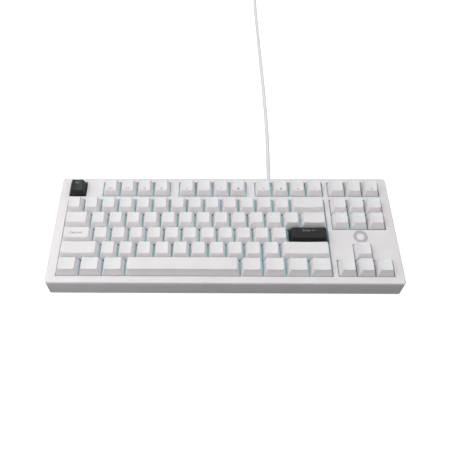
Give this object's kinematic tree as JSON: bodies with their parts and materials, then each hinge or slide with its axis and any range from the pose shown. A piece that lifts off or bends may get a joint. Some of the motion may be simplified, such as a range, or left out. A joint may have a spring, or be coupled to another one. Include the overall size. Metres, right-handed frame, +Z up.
{
  "type": "mechanical keyboard",
  "caption": "Tenkeyless mechanical keyboard with a two-part white and grey case, sprung keys, fold-out feet and a USB cable.",
  "frame": {"origin": "on the desk, under the middle of the case's box", "axes": "+X to the user's right, +Y away from the user towards the cable, +Z up from the desk"},
  "size_m": [0.3692, 0.6614, 0.0434],
  "materials": {
    "shell_white": "fine-grained moulded ABS, satin",
    "cap_white": "lightly textured keycap plastic, legends lit from below",
    "cap_black": "lightly textured black keycap plastic",
    "plate_white": "white powder coat, lit cyan between the caps",
    "board_black": "solder-masked circuit board with switch housings",
    "badge_grey": "satin grey disc with a plain ring",
    "bright_steel": "bright steel",
    "rubber_grey": "matt rubber",
    "cord_white": "soft white cable sheath",
    "strap_grey": "woven hook-and-loop strap"
  },
  "bodies": {
    "case": {"top_case": "shell_white", "bottom_case": "shell_white", "switch_plate": "plate_white", "circuit_board": "board_black", "emblem_badge": "badge_grey", "strain_relief": "cord_white", "usb_cable": "cord_white", "cable_coil": "cord_white", "cable_tie": "strap_grey", "plug_grip": "cord_white", "plug_shell": "bright_steel", "rubber_pad_front_left": "rubber_grey", "rubber_pad_front_right": "rubber_grey", "rubber_pad_back_left": "rubber_grey", "rubber_pad_back_right": "rubber_grey"},
    "key_escape": {"key_escape": "cap_black"},
    "key_print_screen": {"key_print_screen": "cap_white"},
    "key_scroll_lock": {"key_scroll_lock": "cap_white"},
    "key_pause": {"key_pause": "cap_white"},
    "key_backspace": {"key_backspace": "cap_white"},
    "key_insert": {"key_insert": "cap_white"},
    "key_home": {"key_home": "cap_white"},
    "key_page_up": {"key_page_up": "cap_white"},
    "key_tab": {"key_tab": "cap_white"},
    "key_backslash": {"key_backslash": "cap_white"},
    "key_delete": {"key_delete": "cap_white"},
    "key_end": {"key_end": "cap_white"},
    "key_page_down": {"key_page_down": "cap_white"},
    "key_caps_lock": {"key_caps_lock": "cap_white"},
    "key_enter": {"key_enter": "cap_black"},
    "key_shift_left": {"key_shift_left": "cap_white"},
    "key_shift_right": {"key_shift_right": "cap_white"},
    "key_up": {"key_up": "cap_white"},
    "key_control_left": {"key_control_left": "cap_white"},
    "key_super_left": {"key_super_left": "cap_white"},
    "key_alt_left": {"key_alt_left": "cap_white"},
    "key_space": {"key_space": "cap_white"},
    "key_alt_right": {"key_alt_right": "cap_white"},
    "key_fn": {"key_fn": "cap_white"},
    "key_menu": {"key_menu": "cap_white"},
    "key_control_right": {"key_control_right": "cap_white"},
    "key_left": {"key_left": "cap_white"},
    "key_down": {"key_down": "cap_white"},
    "key_right": {"key_right": "cap_white"},
    "keys_f1_to_f4": {"keys_f1_to_f4": "cap_white"},
    "keys_f5_to_f8": {"keys_f5_to_f8": "cap_white"},
    "keys_f9_to_f12": {"keys_f9_to_f12": "cap_white"},
    "keys_number_left": {"keys_number_left": "cap_white"},
    "keys_number_right": {"keys_number_right": "cap_white"},
    "keys_upper_row": {"keys_upper_row": "cap_white"},
    "keys_home_row": {"keys_home_row": "cap_white"},
    "keys_lower_row": {"keys_lower_row": "cap_white"},
    "stabiliser_wire_backspace": {"stabiliser_wire_backspace": "bright_steel"},
    "stabiliser_wire_enter": {"stabiliser_wire_enter": "bright_steel"},
    "stabiliser_wire_shift_left": {"stabiliser_wire_shift_left": "bright_steel"},
    "stabiliser_wire_shift_right": {"stabiliser_wire_shift_right": "bright_steel"},
    "stabiliser_wire_space": {"stabiliser_wire_space": "bright_steel"},
    "tilt_foot_left": {"tilt_foot_left": "shell_white"},
    "tilt_foot_right": {"tilt_foot_right": "shell_white"}
  },
  "joints": [
    {"name": "key_escape_travel", "type": "slide", "parent": "case", "child": "key_escape", "axis": [0, 0.0872, -0.9962], "range_m": [0, 0.004], "stiffness_N_per_m": 60, "springref_m": -0.0065},
    {"name": "key_print_screen_travel", "type": "slide", "parent": "case", "child": "key_print_screen", "axis": [0, 0.0872, -0.9962], "range_m": [0, 0.004], "stiffness_N_per_m": 60, "springref_m": -0.0065},
    {"name": "key_scroll_lock_travel", "type": "slide", "parent": "case", "child": "key_scroll_lock", "axis": [0, 0.0872, -0.9962], "range_m": [0, 0.004], "stiffness_N_per_m": 60, "springref_m": -0.0065},
    {"name": "key_pause_travel", "type": "slide", "parent": "case", "child": "key_pause", "axis": [0, 0.0872, -0.9962], "range_m": [0, 0.004], "stiffness_N_per_m": 60, "springref_m": -0.0065},
    {"name": "key_backspace_travel", "type": "slide", "parent": "case", "child": "key_backspace", "axis": [0, 0.0872, -0.9962], "range_m": [0, 0.004], "stiffness_N_per_m": 60, "springref_m": -0.0065},
    {"name": "key_insert_travel", "type": "slide", "parent": "case", "child": "key_insert", "axis": [0, 0.0872, -0.9962], "range_m": [0, 0.004], "stiffness_N_per_m": 60, "springref_m": -0.0065},
    {"name": "key_home_travel", "type": "slide", "parent": "case", "child": "key_home", "axis": [0, 0.0872, -0.9962], "range_m": [0, 0.004], "stiffness_N_per_m": 60, "springref_m": -0.0065},
    {"name": "key_page_up_travel", "type": "slide", "parent": "case", "child": "key_page_up", "axis": [0, 0.0872, -0.9962], "range_m": [0, 0.004], "stiffness_N_per_m": 60, "springref_m": -0.0065},
    {"name": "key_tab_travel", "type": "slide", "parent": "case", "child": "key_tab", "axis": [0, 0.0872, -0.9962], "range_m": [0, 0.004], "stiffness_N_per_m": 60, "springref_m": -0.0065},
    {"name": "key_backslash_travel", "type": "slide", "parent": "case", "child": "key_backslash", "axis": [0, 0.0872, -0.9962], "range_m": [0, 0.004], "stiffness_N_per_m": 60, "springref_m": -0.0065},
    {"name": "key_delete_travel", "type": "slide", "parent": "case", "child": "key_delete", "axis": [0, 0.0872, -0.9962], "range_m": [0, 0.004], "stiffness_N_per_m": 60, "springref_m": -0.0065},
    {"name": "key_end_travel", "type": "slide", "parent": "case", "child": "key_end", "axis": [0, 0.0872, -0.9962], "range_m": [0, 0.004], "stiffness_N_per_m": 60, "springref_m": -0.0065},
    {"name": "key_page_down_travel", "type": "slide", "parent": "case", "child": "key_page_down", "axis": [0, 0.0872, -0.9962], "range_m": [0, 0.004], "stiffness_N_per_m": 60, "springref_m": -0.0065},
    {"name": "key_caps_lock_travel", "type": "slide", "parent": "case", "child": "key_caps_lock", "axis": [0, 0.0872, -0.9962], "range_m": [0, 0.004], "stiffness_N_per_m": 60, "springref_m": -0.0065},
    {"name": "key_enter_travel", "type": "slide", "parent": "case", "child": "key_enter", "axis": [0, 0.0872, -0.9962], "range_m": [0, 0.004], "stiffness_N_per_m": 60, "springref_m": -0.0065},
    {"name": "key_shift_left_travel", "type": "slide", "parent": "case", "child": "key_shift_left", "axis": [0, 0.0872, -0.9962], "range_m": [0, 0.004], "stiffness_N_per_m": 60, "springref_m": -0.0065},
    {"name": "key_shift_right_travel", "type": "slide", "parent": "case", "child": "key_shift_right", "axis": [0, 0.0872, -0.9962], "range_m": [0, 0.004], "stiffness_N_per_m": 60, "springref_m": -0.0065},
    {"name": "key_up_travel", "type": "slide", "parent": "case", "child": "key_up", "axis": [0, 0.0872, -0.9962], "range_m": [0, 0.004], "stiffness_N_per_m": 60, "springref_m": -0.0065},
    {"name": "key_control_left_travel", "type": "slide", "parent": "case", "child": "key_control_left", "axis": [0, 0.0872, -0.9962], "range_m": [0, 0.004], "stiffness_N_per_m": 60, "springref_m": -0.0065},
    {"name": "key_super_left_travel", "type": "slide", "parent": "case", "child": "key_super_left", "axis": [0, 0.0872, -0.9962], "range_m": [0, 0.004], "stiffness_N_per_m": 60, "springref_m": -0.0065},
    {"name": "key_alt_left_travel", "type": "slide", "parent": "case", "child": "key_alt_left", "axis": [0, 0.0872, -0.9962], "range_m": [0, 0.004], "stiffness_N_per_m": 60, "springref_m": -0.0065},
    {"name": "key_space_travel", "type": "slide", "parent": "case", "child": "key_space", "axis": [0, 0.0872, -0.9962], "range_m": [0, 0.004], "stiffness_N_per_m": 60, "springref_m": -0.0065},
    {"name": "key_alt_right_travel", "type": "slide", "parent": "case", "child": "key_alt_right", "axis": [0, 0.0872, -0.9962], "range_m": [0, 0.004], "stiffness_N_per_m": 60, "springref_m": -0.0065},
    {"name": "key_fn_travel", "type": "slide", "parent": "case", "child": "key_fn", "axis": [0, 0.0872, -0.9962], "range_m": [0, 0.004], "stiffness_N_per_m": 60, "springref_m": -0.0065},
    {"name": "key_menu_travel", "type": "slide", "parent": "case", "child": "key_menu", "axis": [0, 0.0872, -0.9962], "range_m": [0, 0.004], "stiffness_N_per_m": 60, "springref_m": -0.0065},
    {"name": "key_control_right_travel", "type": "slide", "parent": "case", "child": "key_control_right", "axis": [0, 0.0872, -0.9962], "range_m": [0, 0.004], "stiffness_N_per_m": 60, "springref_m": -0.0065},
    {"name": "key_left_travel", "type": "slide", "parent": "case", "child": "key_left", "axis": [0, 0.0872, -0.9962], "range_m": [0, 0.004], "stiffness_N_per_m": 60, "springref_m": -0.0065},
    {"name": "key_down_travel", "type": "slide", "parent": "case", "child": "key_down", "axis": [0, 0.0872, -0.9962], "range_m": [0, 0.004], "stiffness_N_per_m": 60, "springref_m": -0.0065},
    {"name": "key_right_travel", "type": "slide", "parent": "case", "child": "key_right", "axis": [0, 0.0872, -0.9962], "range_m": [0, 0.004], "stiffness_N_per_m": 60, "springref_m": -0.0065},
    {"name": "keys_f1_to_f4_travel", "type": "slide", "parent": "case", "child": "keys_f1_to_f4", "axis": [0, 0.0872, -0.9962], "range_m": [0, 0.004], "stiffness_N_per_m": 240, "springref_m": -0.0065},
    {"name": "keys_f5_to_f8_travel", "type": "slide", "parent": "case", "child": "keys_f5_to_f8", "axis": [0, 0.0872, -0.9962], "range_m": [0, 0.004], "stiffness_N_per_m": 240, "springref_m": -0.0065},
    {"name": "keys_f9_to_f12_travel", "type": "slide", "parent": "case", "child": "keys_f9_to_f12", "axis": [0, 0.0872, -0.9962], "range_m": [0, 0.004], "stiffness_N_per_m": 240, "springref_m": -0.0065},
    {"name": "keys_number_left_travel", "type": "slide", "parent": "case", "child": "keys_number_left", "axis": [0, 0.0872, -0.9962], "range_m": [0, 0.004], "stiffness_N_per_m": 420, "springref_m": -0.0065},
    {"name": "keys_number_right_travel", "type": "slide", "parent": "case", "child": "keys_number_right", "axis": [0, 0.0872, -0.9962], "range_m": [0, 0.004], "stiffness_N_per_m": 360, "springref_m": -0.0065},
    {"name": "keys_upper_row_travel", "type": "slide", "parent": "case", "child": "keys_upper_row", "axis": [0, 0.0872, -0.9962], "range_m": [0, 0.004], "stiffness_N_per_m": 720, "springref_m": -0.0065},
    {"name": "keys_home_row_travel", "type": "slide", "parent": "case", "child": "keys_home_row", "axis": [0, 0.0872, -0.9962], "range_m": [0, 0.004], "stiffness_N_per_m": 660, "springref_m": -0.0065},
    {"name": "keys_lower_row_travel", "type": "slide", "parent": "case", "child": "keys_lower_row", "axis": [0, 0.0872, -0.9962], "range_m": [0, 0.004], "stiffness_N_per_m": 600, "springref_m": -0.0065},
    {"name": "stabiliser_wire_backspace_rock", "type": "hinge", "parent": "case", "child": "stabiliser_wire_backspace", "pos_m": [0.09239, 0.01924, 0.01917], "axis": [-1, 0, 0], "range_deg": [0, 28.5]},
    {"name": "stabiliser_wire_enter_rock", "type": "hinge", "parent": "case", "child": "stabiliser_wire_enter", "pos_m": [0.09001, -0.01871, 0.01584], "axis": [-1, 0, 0], "range_deg": [0, 28.5]},
    {"name": "stabiliser_wire_shift_left_rock", "type": "hinge", "parent": "case", "child": "stabiliser_wire_shift_left", "pos_m": [-0.15288, -0.03769, 0.01418], "axis": [-1, 0, 0], "range_deg": [0, 28.5]},
    {"name": "stabiliser_wire_shift_right_rock", "type": "hinge", "parent": "case", "child": "stabiliser_wire_shift_right", "pos_m": [0.08525, -0.03769, 0.01418], "axis": [-1, 0, 0], "range_deg": [0, 28.5]},
    {"name": "stabiliser_wire_space_rock", "type": "hinge", "parent": "case", "child": "stabiliser_wire_space", "pos_m": [-0.04334, -0.05667, 0.01252], "axis": [-1, 0, 0], "range_deg": [0, 28.5]},
    {"name": "tilt_foot_left_hinge", "type": "hinge", "parent": "case", "child": "tilt_foot_left", "pos_m": [-0.118, 0.047, 0.0041], "axis": [1, 0, 0], "range_deg": [0, 95]},
    {"name": "tilt_foot_right_hinge", "type": "hinge", "parent": "case", "child": "tilt_foot_right", "pos_m": [0.118, 0.047, 0.0041], "axis": [1, 0, 0], "range_deg": [0, 95]}
  ],
  "couplings": [
    {"joint": "stabiliser_wire_backspace_rock", "follows": "key_backspace_travel", "rad_per_m": 124.08},
    {"joint": "stabiliser_wire_enter_rock", "follows": "key_enter_travel", "rad_per_m": 124.08},
    {"joint": "stabiliser_wire_shift_left_rock", "follows": "key_shift_left_travel", "rad_per_m": 124.08},
    {"joint": "stabiliser_wire_shift_right_rock", "follows": "key_shift_right_travel", "rad_per_m": 124.08},
    {"joint": "stabiliser_wire_space_rock", "follows": "key_space_travel", "rad_per_m": 124.08}
  ]
}
